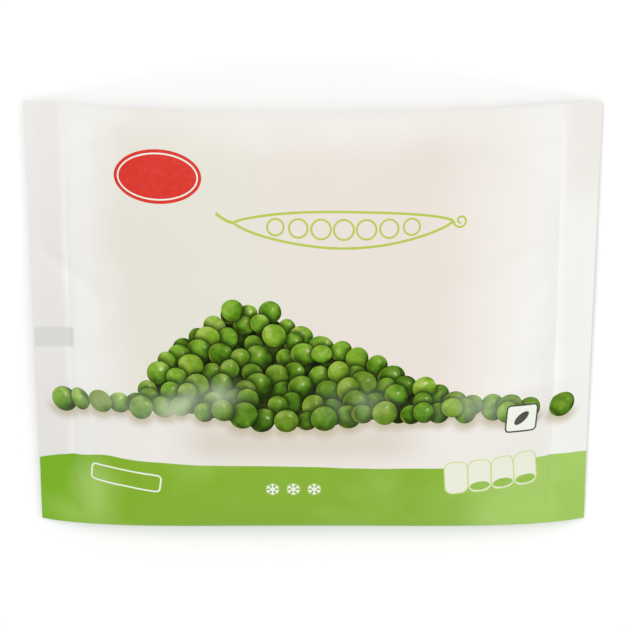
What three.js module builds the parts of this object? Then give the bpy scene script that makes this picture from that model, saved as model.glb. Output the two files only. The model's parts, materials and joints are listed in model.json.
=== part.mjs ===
// A filled pillow pouch of frozen peas, lying on its back with its printed front up.
// Millimetres. X runs along the pouch from one end seal to the other, Y from the bottom
// fold to the top fold, and Z up from the floor. The origin is under the pouch's middle.
// The film is a tube that lies flat at both ends, where it is sealed and cut straight. Its
// back seam is a fin, folded down against the back.
import * as THREE from "three";

// The flat pouch
const pouchWidth = 230; // from cut edge to cut edge
const pouchHeight = 178; // from bottom fold to top fold, where the film lies flat
const sealWidth = 16; // the flat strip at each end
const stripThickness = 0.8; // both films of the strip, pressed together
const foldRim = 0.02; // the strip's thickness closes over this share of its half height
const cutEdgeBow = 0.5; // the cut edges draw in by this much at half height
const bowPower = 4; // the bow dies away inwards as this power of the place along the pouch

// The fill
const frontRise = 15; // how far the front bulges above the fold lines
const backDrop = 17.5; // how far the back would hang below them, were there no floor
const foldDrawIn = 2; // each fold line moves in by this much at the middle
const cornerHeight = 1.7; // the corners of the strips lie this high
const foldLift = 13.5; // the fold lines rise by this much more at the middle
const floorFillet = 1.8; // how gently the back curves into its flat patch

// How full each profile is. A higher flatness keeps it flat for longer, and a lower
// steepness turns it down more abruptly at its rim.
const alongPouch = { flatness: 3, steepness: 0.6, fillet: 1.6 }; // the fillet meets the strips
const acrossFront = { flatness: 2.5, steepness: 0.66, lean: 0.04 }; // leans to the bottom fold
const acrossBack = { flatness: 3, steepness: 0.66 };
const topFold = { reach: 0.96, flatness: 2.2, steepness: 1.25 }; // reach is a share of half the width
const bottomFold = { reach: 1, flatness: 4.6, steepness: 1 };

// The strips stand a little higher at half height, and wave slowly
const strip = { lift: 2.6, atCutEdge: 0.25, wave: 0.5, waveTurn: 3.1, leftStart: 2.4, rightStart: 0.9 };
const stripReach = 0.45; // the lift and wave begin this share of the filled half inwards

// The back seam
const finWidth = 9;
const finCentre = -10; // its place across the pouch
const finProud = 0.4; // it stands this far below the back, and the pouch rests on it
const finEdge = 0.7; // the width of the step at each side of it

// Small waves where the film gathers at the strips
const puckers = [
  { length: 31.4, depth: 0.5, leftStart: 0.4, rightStart: 1.7 },
  { length: 19.3, depth: 0.3, leftStart: 0.92, rightStart: 3.91 },
  { length: 10.7, depth: 0.12, leftStart: -0.4, rightStart: -1.7 },
];
const puckerReach = { inwards: 15, outwards: 6 }; // how far they run from the strip's edge

// Wide, shallow swells in the front
const swells = [
  { length: 72, heading: -24, depth: 0.35, start: 1.07 },
  { length: 49, heading: 71, depth: 0.35, start: 0.13 },
  { length: 47, heading: -30, depth: 0.35, start: 2.2 },
];

// Creases in the front, each a valley from one end to the other
const creases = [
  { from: [82, 27], to: [112, 38], width: 5.0, depth: 1.3 },
  { from: [86, 12], to: [98, 28], width: 4.4, depth: 0.7 },
  { from: [-107, 26], to: [-91, 17], width: 3.4, depth: 1.5 },
  { from: [-103, -30], to: [-84, -36], width: 3.6, depth: 0.9 },
  { from: [98, -8], to: [98, -38], width: 3.0, depth: 1.0 },
  { from: [88, -58], to: [107, -66], width: 3.6, depth: 1.0 },
  { from: [-82, 78], to: [-103, 70], width: 4.0, depth: 0.9 },
  { from: [66, 74], to: [92, 64], width: 4.2, depth: 0.8 },
];
const creaseTail = 1.6; // a crease dies away past its ends over this many of its widths

// Where the relief fades out
const swellFade = 0.25; // shares of the half height, in from the folds
const reliefFade = 0.12;
const cutFade = 13; // in from the cut edges
const cutShare = 0.25; // what is left of the relief at the cut edge
const backFade = 0.2; // the back shares the relief in this outer share of the filled half

// The mesh
const bodyStations = 50; // rings between the strips
const stripStations = 4; // rings across each strip
const columns = 32; // cells from fold to fold, on each side
const ringCrowding = 0.8; // 0 spaces the rings evenly, 1 crowds them towards the strips
const columnCrowding = 0.7; // the same for the columns, towards the folds
const finClearance = 0.012; // no column of the back lies nearer to the fin's edges than this

const halfWidth = pouchWidth / 2;
const halfHeight = pouchHeight / 2;
const bodyHalf = halfWidth - sealWidth;
const { lerp, clamp, degToRad } = THREE.MathUtils;

const smooth = (t) => clamp(t, 0, 1) ** 2 * (3 - 2 * clamp(t, 0, 1));
const bell = (t) => Math.exp(-t * t);
const onSide = (x, left, right) => (x > 0 ? right : left);

// The larger of a and 0, rounded over a width of r on each side of 0.
function softFloor(a, r) {
  if (a >= r) return a;
  if (a <= -r) return 0;
  return (a + r) ** 2 / (4 * r);
}

// A profile that is 1 in its middle and 0 at its rim, where t is 1.
function profile({ flatness, steepness }, t) {
  return Math.max(0, 1 - Math.min(1, Math.abs(t)) ** flatness) ** steepness;
}

// How full the pouch is at x: 1 in the middle, 0 where the strips begin.
function fullness(x) {
  const inside = Math.max(0, bodyHalf - Math.abs(x));
  const softened = inside ** 2 / (inside + alongPouch.fillet);
  return profile(alongPouch, 1 - softened / bodyHalf);
}

// How far the fold lines have risen at x. The contents have settled towards the bottom
// fold, so that one rises sooner from its corners than the top one does.
const foldShare = (fold, x) => profile(fold, x / (fold.reach * halfWidth));

// The height of the sheet midway between front and back, with s from -1 at the bottom
// fold to 1 at the top fold.
function middleHeight(x, s) {
  const share = lerp(foldShare(bottomFold, x), foldShare(topFold, x), (s + 1) / 2);
  const towardsEnd = smooth((Math.abs(x) / bodyHalf - (1 - stripReach)) / stripReach);
  const outwards = smooth((Math.abs(x) - bodyHalf) / sealWidth);
  const lift = strip.lift * lerp(1, strip.atCutEdge, outwards);
  const wave = strip.wave * Math.sin(strip.waveTurn * s + onSide(x, strip.leftStart, strip.rightStart));
  return cornerHeight + foldLift * share + towardsEnd * (lift + wave) * (1 - s * s);
}

// Half the pouch's height at x.
function foldDistance(x) {
  return halfHeight - foldDrawIn * 0.5 * (foldShare(topFold, x) + foldShare(bottomFold, x));
}

// Small waves that run in from the strips and die away.
function pucker(x, y) {
  const inward = bodyHalf - Math.abs(x);
  const reach = inward > 0 ? puckerReach.inwards : puckerReach.outwards;
  const waves = puckers.reduce((sum, { length, depth, leftStart, rightStart }) => {
    return sum + depth * Math.sin((2 * Math.PI * y) / length + onSide(x, leftStart, rightStart));
  }, 0);
  return waves * Math.exp(-Math.abs(inward) / reach);
}

// Wide swells in the front.
function swell(x, y) {
  return swells.reduce((sum, { length, heading, depth, start }) => {
    const along = x * Math.cos(degToRad(heading)) + y * Math.sin(degToRad(heading));
    return sum + depth * Math.sin((2 * Math.PI * along) / length + start);
  }, 0);
}

// The depth of one crease at a point.
function creaseDepth(crease, x, y) {
  const [ax, ay] = crease.from;
  const [bx, by] = crease.to;
  const length = Math.hypot(bx - ax, by - ay);
  const along = ((x - ax) * (bx - ax) + (y - ay) * (by - ay)) / length;
  const beyond = Math.max(0, -along, along - length);
  const across = ((x - ax) * (by - ay) - (y - ay) * (bx - ax)) / length;
  return crease.depth * bell(across / crease.width) * bell(beyond / (creaseTail * crease.width));
}

// Relief fades out at the folds, and at the cut edges.
function relief(x, y, s) {
  const fromFold = smooth((1 - Math.abs(s)) / reliefFade);
  const fromCut = lerp(cutShare, 1, smooth((halfWidth - Math.abs(x)) / cutFade));
  const cut = creases.reduce((sum, crease) => sum + creaseDepth(crease, x, y), 0);
  return fromFold * fromCut * (pucker(x, y) - cut);
}

const halfFilm = (s) => 0.5 * stripThickness * smooth((1 - Math.abs(s)) / foldRim);

function frontPoint(x, s) {
  const y = s * foldDistance(x);
  const leaning = s + acrossFront.lean * (1 - s * s);
  const bulge = frontRise * fullness(x) * profile(acrossFront, leaning);
  const swollen = swell(x, y) * fullness(x) * smooth((1 - Math.abs(s)) / swellFade);
  return new THREE.Vector3(x, y, middleHeight(x, s) + halfFilm(s) + bulge + swollen + relief(x, y, s));
}

// How far the fin stands out of the back at y: 1 on the fin, 0 off it.
const finShare = (y) => smooth((0.5 * finWidth + finEdge - Math.abs(y - finCentre)) / finEdge);

// The back follows the front's relief towards the strips, and rests on the floor in between.
function backPoint(x, s) {
  const y = s * foldDistance(x);
  const hang = backDrop * fullness(x) * profile(acrossBack, s);
  const shared = relief(x, y, s) * smooth((Math.abs(x) / bodyHalf - (1 - backFade)) / backFade);
  const height = middleHeight(x, s) - halfFilm(s) - hang + shared;
  const rested = finProud + softFloor(height - finProud, floorFillet);
  return new THREE.Vector3(x, y, rested - finProud * finShare(y));
}

// Places from -1 to 1, closer together towards both ends where crowding is above 0.
function spaced(cells, crowding) {
  return Array.from({ length: cells + 1 }, (_, i) => {
    const even = (2 * i) / cells - 1;
    return lerp(even, Math.sin((even * Math.PI) / 2), crowding);
  });
}

// The rings' places along x: even in the strips, and closer together where the pouch
// begins to fill.
function stationsAlong() {
  const outer = Array.from({ length: stripStations }, (_, i) => halfWidth - (sealWidth * i) / stripStations);
  const body = spaced(bodyStations, ringCrowding).map((share) => share * bodyHalf);
  return [...outer.map((x) => -x), ...body, ...outer.reverse()];
}

// Shares across the front, from one fold to the other.
const sharesAcross = () => spaced(columns, columnCrowding);

// The back's shares have the edges of the fin among them.
function sharesAcrossBack() {
  const finLines = [-1, 1].flatMap((side) =>
    [0, 0.5, 1].map((step) => (finCentre + side * (0.5 * finWidth + step * finEdge)) / halfHeight),
  );
  const clear = sharesAcross().filter((s) => finLines.every((line) => Math.abs(s - line) > finClearance));
  return [...clear, ...finLines].sort((a, b) => a - b);
}

// The cut edges bow inwards a little at half height.
function bowed(point) {
  const s = point.y / halfHeight;
  const share = (Math.abs(point.x) / halfWidth) ** bowPower;
  point.x -= Math.sign(point.x) * cutEdgeBow * share * (1 - s * s);
  return point;
}

// One closed loop of points round the film at x: the front from the bottom fold to the
// top fold, then the back on the way down again.
function ringAt(x) {
  const front = sharesAcross().map((s) => frontPoint(x, s));
  const back = sharesAcrossBack().slice(1, -1).map((s) => backPoint(x, s));
  return [...front, ...back.reverse()].map(bowed);
}

// The strip's cut face, filled from the bottom fold up: each triangle takes the next point
// of the front or of the back, whichever lies lower.
function cutFace(ring, start, facingRight) {
  const faces = [];
  let front = 0;
  let back = ring.length - 1;
  while (back - front > 1) {
    const takeFront = ring[front + 1].y < ring[back - 1].y || back - 1 === front + 1;
    const next = takeFront ? front + 1 : back - 1;
    faces.push([front, next, back].map((k) => start + k));
    if (takeFront) front = next;
    else back = next;
  }
  return facingRight ? faces.map(([a, b, c]) => [a, c, b]) : faces;
}

function pouchGeometry() {
  const rings = stationsAlong().map(ringAt);
  const ringCount = rings[0].length;
  const faces = [];
  for (let i = 0; i + 1 < rings.length; i += 1) {
    for (let j = 0; j < ringCount; j += 1) {
      const next = (j + 1) % ringCount;
      const a = i * ringCount + j;
      const b = (i + 1) * ringCount + j;
      const c = (i + 1) * ringCount + next;
      const d = i * ringCount + next;
      faces.push([a, b, c], [a, c, d]);
    }
  }
  faces.push(...cutFace(rings[0], 0, false));
  faces.push(...cutFace(rings.at(-1), (rings.length - 1) * ringCount, true));
  const geometry = new THREE.BufferGeometry().setFromPoints(rings.flat());
  geometry.setIndex(faces.flat());
  geometry.computeVertexNormals();
  return geometry;
}

const printedFilm = new THREE.MeshStandardMaterial({ color: 0xece6dd, roughness: 0.42, metalness: 0 });

const bag = new THREE.Group();
const pouch = new THREE.Mesh(pouchGeometry(), printedFilm);
pouch.name = "film_pouch";
bag.add(pouch);

export default bag;
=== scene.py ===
# A sealed pillow pouch of frozen peas, lying on its back with its printed front up.
# X runs from one end seal to the other, Y from the bottom fold to the top fold, Z up.
import json
import math
import bpy
import numpy as np
from mathutils import Euler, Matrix, Vector, geometry, kdtree

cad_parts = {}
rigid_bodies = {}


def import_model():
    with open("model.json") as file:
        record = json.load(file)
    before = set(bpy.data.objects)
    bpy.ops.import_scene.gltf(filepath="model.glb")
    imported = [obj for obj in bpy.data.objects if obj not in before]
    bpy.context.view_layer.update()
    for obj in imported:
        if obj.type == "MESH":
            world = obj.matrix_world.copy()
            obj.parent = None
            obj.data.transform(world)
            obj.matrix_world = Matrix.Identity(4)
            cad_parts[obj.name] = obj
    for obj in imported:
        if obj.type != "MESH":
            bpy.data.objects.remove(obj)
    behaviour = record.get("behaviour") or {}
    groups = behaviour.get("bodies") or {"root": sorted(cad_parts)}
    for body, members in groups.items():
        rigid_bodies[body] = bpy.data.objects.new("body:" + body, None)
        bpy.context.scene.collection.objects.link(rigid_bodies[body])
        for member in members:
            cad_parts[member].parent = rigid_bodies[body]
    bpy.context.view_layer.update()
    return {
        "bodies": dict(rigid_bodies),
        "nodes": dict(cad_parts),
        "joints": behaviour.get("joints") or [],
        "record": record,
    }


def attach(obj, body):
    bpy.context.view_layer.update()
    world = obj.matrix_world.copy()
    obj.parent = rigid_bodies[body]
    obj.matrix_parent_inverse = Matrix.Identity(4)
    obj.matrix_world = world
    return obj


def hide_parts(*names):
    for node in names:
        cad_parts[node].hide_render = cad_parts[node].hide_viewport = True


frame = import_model()
mm = 0.001


# Node helpers

def put(tree, kind, inputs=None, **settings):  # one node, its settings, and its inputs by name
    made = tree.nodes.new(kind)
    for key, value in settings.items():
        setattr(made, key, value)
    for key, value in (inputs or {}).items():
        if isinstance(value, bpy.types.NodeSocket):
            tree.links.new(value, made.inputs[key])
        else:
            made.inputs[key].default_value = value
    return made


def get(tree, kind, inputs=None, **settings):  # the first output of such a node
    return put(tree, kind, inputs, **settings).outputs[0]


def calc(operation, *values, clamp=False):  # in the tree of whichever value is a socket
    tree = next(value.id_data for value in values if isinstance(value, bpy.types.NodeSocket))
    inputs = dict(enumerate(values))
    return get(tree, "ShaderNodeMath", inputs, operation=operation, use_clamp=clamp)


def chain(operation, values, clamp):  # the same sign between all the values, from the left
    result = values[0]
    for value in values[1:]:
        result = calc(operation, result, value, clamp=clamp)
    return result


def plus(*values, clamp=False):
    return chain("ADD", values, clamp)


def minus(*values, clamp=False):
    return chain("SUBTRACT", values, clamp)


def times(*values, clamp=False):
    return chain("MULTIPLY", values, clamp)


def swing(value, size, middle=0.5):  # how far the value is from its middle, to this size
    return times(minus(value, middle), size)


def fade(value, low, high):  # 0 at low, 1 at high, smooth in between
    ends = {"Value": value, "From Min": low, "From Max": high}
    return get(value.id_data, "ShaderNodeMapRange", ends, interpolation_type="SMOOTHSTEP")


def spread(value, centre, reach):  # a soft hump: 1 at the centre, fading over the reach
    away = calc("DIVIDE", minus(value, centre), reach)
    return calc("EXPONENT", times(away, away, -1.0))


def parts(vector):  # its X, Y and Z
    return put(vector.id_data, "ShaderNodeSeparateXYZ", {0: vector}).outputs


def mapParts(tree, name):  # the two values kept in this UV map
    return parts(get(tree, "ShaderNodeUVMap", uv_map=name))


def objectPlace(tree):
    return put(tree, "ShaderNodeTexCoord").outputs["Object"]


grains = {  # the scale and the detail of each noise
    "gloss": (45.0, 3.0), "ripples": (260.0, 2.0), "dents": (70.0, 2.0), "warmth": (18.0, 2.0),
    "wander": (30.0, 2.0), "specks": (600.0, 2.0), "paintedHaze": (60.0, 1.5), "dimples": (150.0, 1.0),
    "dapple": (210.0, 3.0), "floor": (3.0, 2.0),
}


def noise(place, scale, detail, output="Fac", **more):
    inputs = {"Vector": place, "Scale": scale, "Detail": detail, **more}
    return put(place.id_data, "ShaderNodeTexNoise", inputs).outputs[output]


def mixColour(share, first, second):
    inputs = {0: share, 6: first, 7: second}
    return put(share.id_data, "ShaderNodeMix", inputs, data_type="RGBA").outputs[2]


studio = {
    "gain": 1.06,  # how much brighter the light is than white paper needs
    "world": 0.5,
}


def paint(red, green, blue):  # a colour from its screen values, 0 to 255, in the studio's light
    linear = [((c / 255 + 0.055) / 1.055) ** 2.4 if c > 10 else c / 255 / 12.92 for c in (red, green, blue)]
    return (*(c / studio["gain"] for c in linear), 1.0)


def geometryTree(name, sockets):  # a tree with a Geometry input and these others, by name
    tree = bpy.data.node_groups.new(name, "GeometryNodeTree")
    tree.interface.new_socket("Geometry", in_out="INPUT", socket_type="NodeSocketGeometry")
    for label, kind in sockets.items():
        tree.interface.new_socket(label, in_out="INPUT", socket_type="NodeSocket" + kind)
    tree.interface.new_socket("Geometry", in_out="OUTPUT", socket_type="NodeSocketGeometry")
    return tree, tree.nodes.new("NodeGroupInput"), tree.nodes.new("NodeGroupOutput")


def runTree(obj, tree, values):  # runs a tree on an object, and leaves it a plain mesh
    modifier = obj.modifiers.new(tree.name, "NODES")
    modifier.node_group = tree
    inputs = [item for item in tree.interface.items_tree if item.in_out == "INPUT"]
    for item in inputs:
        if item.name in values:
            modifier[item.identifier] = values[item.name]
    obj.update_tag()
    depsgraph = bpy.context.evaluated_depsgraph_get()
    made = bpy.data.meshes.new_from_object(obj.evaluated_get(depsgraph), depsgraph=depsgraph)
    obj.modifiers.clear()
    obj.data = made
    made.name = obj.name
    return obj


def position(tree):
    return get(tree, "GeometryNodeInputPosition")


def newObject(name, mesh):
    made = bpy.data.objects.new(name, mesh)
    bpy.context.scene.collection.objects.link(made)
    return made


# The pouch's form

pouch = {
    "width": 230 * mm,  # from cut edge to cut edge
    "height": 178 * mm,  # from fold to fold, where the film lies flat
    "sealWidth": 16 * mm,
    "stripThickness": 0.5 * mm,
    "foldRim": 0.02,  # the strip's thickness closes over this share of its half height
    "cutEdgeBow": 0.5 * mm,
    "frontRise": 15 * mm,
    "backDrop": 17.5 * mm,
    "foldDrawIn": 2 * mm,
    "cornerHeight": 1.7 * mm,
    "foldLift": 13.5 * mm,
    "floorFillet": 1.8 * mm,
}
profiles = {  # how long each stays flat, and how steeply it turns down at its rim
    "along": (3, 0.6),
    "fillet": 1.6 * mm,  # where the filled part meets the strips
    "front": (2.5, 0.66),
    "back": (3, 0.66),
    "topFold": (2.2, 1.25),
    "bottomFold": (4.6, 1),
    "lean": 0.04,  # the front's crest leans towards the bottom fold
    "topReach": 0.96,
}
strip = {  # the end strips stand higher at half height, and wave slowly
    "lift": 2.6 * mm, "atCutEdge": 0.25, "reach": 0.45,
    "wave": 0.5 * mm, "waveTurn": 3.1, "left": 2.4, "right": 0.9,
}
fin = {"width": 9 * mm, "centre": -10 * mm, "proud": 0.4 * mm, "edge": 0.7 * mm}  # the back seam
puckers = {  # small waves where the film gathers at the strips
    "inwards": 15 * mm,
    "outwards": 6 * mm,
    "waves": [  # length, depth, and where each starts at the left and at the right
        (31.4 * mm, 0.5 * mm, 0.4, 1.7),
        (19.3 * mm, 0.3 * mm, 0.92, 3.91),
        (10.7 * mm, 0.12 * mm, -0.4, -1.7),
    ],
}
swells = [  # length, heading in degrees, depth, start
    (72 * mm, -24, 0.35 * mm, 1.07),
    (49 * mm, 71, 0.35 * mm, 0.13),
    (47 * mm, -30, 0.35 * mm, 2.2),
]
creases = [  # from, to, width and depth, in millimetres
    ((82, 27), (112, 38), 5.0, 1.3),
    ((86, 12), (98, 28), 4.4, 0.7),
    ((-107, 26), (-91, 17), 3.4, 1.5),
    ((-103, -30), (-84, -36), 3.6, 0.9),
    ((98, -8), (98, -38), 3.0, 1.0),
    ((88, -58), (107, -66), 3.6, 1.0),
    ((-82, 78), (-103, 70), 4.0, 0.9),
    ((66, 74), (92, 64), 4.2, 0.8),
]
fades = {  # where the relief fades out
    "swell": 0.25, "relief": 0.12, "cut": 13 * mm, "cutShare": 0.25, "back": 0.2, "creaseTail": 1.6,
    "fillIn": 14 * mm, "fillFold": 0.1,  # where the peas begin to press on the film
}
peaShade = {  # reaches are in radii of the nearer pea
    "reach": 1.55,
    "depth": 0.92,
    "falloff": 1.15,
    "behind": 0.72,
    "buried": 0.3,
    "castReach": 1.95,  # on the film under the lowest peas
    "castFrom": 0.96,  # only from the peas this low in the heap
}
filmGrid = {"ringGap": 1.3 * mm, "stripRingGap": 0.5 * mm, "columns": 140, "crowding": 0.6}
printCut = {"clear": 0.45, "merge": 0.01}  # millimetres from the film's grid to the print's edges
halfWidth = pouch["width"] / 2
halfHeight = pouch["height"] / 2
bodyHalf = halfWidth - pouch["sealWidth"]


def smooth(t):
    t = np.clip(t, 0, 1)
    return t * t * (3 - 2 * t)


def bell(t):
    return np.exp(-t * t)


def profile(name, t):  # 1 in its middle, 0 at its rim, where t is 1
    flatness, steepness = profiles[name]
    return np.maximum(0, 1 - np.minimum(1, abs(t)) ** flatness) ** steepness


def fullness(x):  # 1 in the middle, 0 where the strips begin
    inside = np.maximum(0, bodyHalf - abs(x))
    return profile("along", 1 - inside ** 2 / (inside + profiles["fillet"]) / bodyHalf)


def foldShares(x):  # how far the bottom and top folds have risen at x
    return profile("bottomFold", x / halfWidth), profile("topFold", x / (profiles["topReach"] * halfWidth))


def foldDistance(x):
    low, high = foldShares(x)
    return halfHeight - pouch["foldDrawIn"] * 0.5 * (low + high)


def middleHeight(x, s):  # midway between front and back; s runs from -1 to 1 across the pouch
    low, high = foldShares(x)
    share = low + (high - low) * (s + 1) / 2
    towardsEnd = smooth((abs(x) / bodyHalf - (1 - strip["reach"])) / strip["reach"])
    outwards = smooth((abs(x) - bodyHalf) / pouch["sealWidth"])
    lift = strip["lift"] * (1 - (1 - strip["atCutEdge"]) * outwards)
    wave = strip["wave"] * np.sin(strip["waveTurn"] * s + np.where(x > 0, strip["right"], strip["left"]))
    return pouch["cornerHeight"] + pouch["foldLift"] * share + towardsEnd * (lift + wave) * (1 - s * s)


def creaseDepth(crease, x, y):
    (ax, ay), (bx, by), width, depth = (np.array(part) * mm for part in crease)
    length = math.hypot(bx - ax, by - ay)
    along = ((x - ax) * (bx - ax) + (y - ay) * (by - ay)) / length
    across = ((x - ax) * (by - ay) - (y - ay) * (bx - ax)) / length
    beyond = np.maximum(0, np.maximum(-along, along - length))
    return depth * bell(across / width) * bell(beyond / (fades["creaseTail"] * width))


def relief(x, y, s):  # puckers and creases, fading out at the folds and the cut edges
    inward = bodyHalf - abs(x)
    reach = np.where(inward > 0, puckers["inwards"], puckers["outwards"])
    waves = sum(
        depth * np.sin(2 * math.pi * y / length + np.where(x > 0, right, left))
        for length, depth, left, right in puckers["waves"]
    )
    cuts = sum(creaseDepth(crease, x, y) for crease in creases)
    fromFold = smooth((1 - abs(s)) / fades["relief"])
    fromCut = fades["cutShare"] + (1 - fades["cutShare"]) * smooth((halfWidth - abs(x)) / fades["cut"])
    return fromFold * fromCut * (waves * np.exp(-abs(inward) / reach) - cuts)


def swell(x, y):
    total = 0
    for length, heading, depth, start in swells:
        turn = math.radians(heading)
        along = x * math.cos(turn) + y * math.sin(turn)
        total = total + depth * np.sin(2 * math.pi * along / length + start)
    return total


def halfFilm(s):  # half the strip's thickness, closing at the folds
    return 0.5 * pouch["stripThickness"] * smooth((1 - abs(s)) / pouch["foldRim"])


def frontPoints(x, s):
    y = s * foldDistance(x)
    bulge = pouch["frontRise"] * fullness(x) * profile("front", s + profiles["lean"] * (1 - s * s))
    swollen = swell(x, y) * fullness(x) * smooth((1 - abs(s)) / fades["swell"])
    z = middleHeight(x, s) + halfFilm(s) + bulge + swollen + relief(x, y, s)
    return np.stack([x + 0 * s, y, z], -1)


def backPoints(x, s):  # rests on the fin, and hangs clear of the floor towards the ends
    y = s * foldDistance(x)
    hang = pouch["backDrop"] * fullness(x) * profile("back", s)
    shared = relief(x, y, s) * smooth((abs(x) / bodyHalf - (1 - fades["back"])) / fades["back"])
    height = middleHeight(x, s) - halfFilm(s) - hang + shared - fin["proud"]
    fillet = pouch["floorFillet"]
    rounded = np.where(height <= -fillet, 0, (height + fillet) ** 2 / (4 * fillet))
    rested = np.where(height >= fillet, height, rounded)
    onFin = smooth((fin["width"] / 2 + fin["edge"] - abs(y - fin["centre"])) / fin["edge"])
    return np.stack([x + 0 * s, y, fin["proud"] + rested - fin["proud"] * onFin], -1)


def bowed(points):  # the cut edges draw in a little at half height
    share = abs(points[..., 0]) / halfWidth
    s = points[..., 1] / halfHeight
    points[..., 0] -= np.sign(points[..., 0]) * pouch["cutEdgeBow"] * share ** 4 * (1 - s * s)
    return points


def ringPlaces():
    count = round(pouch["sealWidth"] / filmGrid["stripRingGap"])
    outer = np.linspace(bodyHalf, halfWidth, count + 1)[1:]
    body = np.linspace(-bodyHalf, bodyHalf, round(2 * bodyHalf / filmGrid["ringGap"]) + 1)
    return np.concatenate([-outer[::-1], body, outer])


def acrossShares():  # closer together at the folds, with the fin's edges among them
    even = np.linspace(-1, 1, filmGrid["columns"] + 1)
    crowded = even + filmGrid["crowding"] * (np.sin(even * math.pi / 2) - even)
    steps = [side * (fin["width"] / 2 + part * fin["edge"]) for side in (-1, 1) for part in (0, 0.5, 1)]
    finShares = (fin["centre"] + np.array(steps)) / halfHeight
    return np.unique(np.round(np.concatenate([crowded, finShares]), 6))


def lengthAlong(points):  # how far along the film each point is from the bottom fold
    steps = np.linalg.norm(np.diff(points, axis=1), axis=2)
    return np.concatenate([np.zeros((len(points), 1)), np.cumsum(steps, axis=1)], axis=1)


def cutFront(places, shares, shapes):  # the front as triangles, with every printed shape's edge cut into it
    x, s = np.meshgrid(places, shares, indexing="ij")
    grid = np.stack([x, s * foldDistance(x)], -1) / mm
    rings, across = len(places), len(shares)
    ids = np.arange(rings * across).reshape(rings, across)
    edge = np.concatenate([ids[:, 0], ids[-1, 1:], ids[-2::-1, -1], ids[0, -2:0:-1]])
    onEdge = np.zeros(rings * across, bool)
    onEdge[edge] = True
    outlines = [np.array(shape["outline"], float) for shape in shapes]
    marks = np.concatenate(outlines)
    tree = kdtree.KDTree(len(marks))
    for k, (px, py) in enumerate(marks):
        tree.insert((px, py, 0), k)
    tree.balance()
    flat = grid.reshape(-1, 2)
    clear = [tree.find((px, py, 0))[2] > printCut["clear"] for px, py in flat]
    kept = np.flatnonzero(onEdge | clear)
    place = np.full(len(flat), -1)
    place[kept] = np.arange(len(kept))
    points = [Vector(p) for p in flat[kept]] + [Vector(p) for p in marks]
    edges = [(int(place[a]), int(place[b])) for a, b in zip(edge, np.roll(edge, -1))]
    faces, count = [], len(kept)
    for outline in outlines:
        faces.append(list(range(count, count + len(outline))))
        count += len(outline)
    made = geometry.delaunay_2d_cdt(points, edges, faces, 1, printCut["merge"])
    flatPoints, _, triangles, fromPoints, _, fromFaces = made
    where = {first: k for k, origins in enumerate(fromPoints) for first in origins}
    edgeAt = {int(a): where[int(place[a])] for a in edge}
    tops = [max(origins, key=lambda f: shapes[f]["layer"]) if origins else -1 for origins in fromFaces]
    return np.array([tuple(p) for p in flatPoints]) * mm, triangles, tops, ids, edgeAt


def cells(grid):  # the four corners of every cell
    return np.stack([grid[:-1, :-1], grid[:-1, 1:], grid[1:, 1:], grid[1:, :-1]], -1).reshape(-1, 4)


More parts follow.
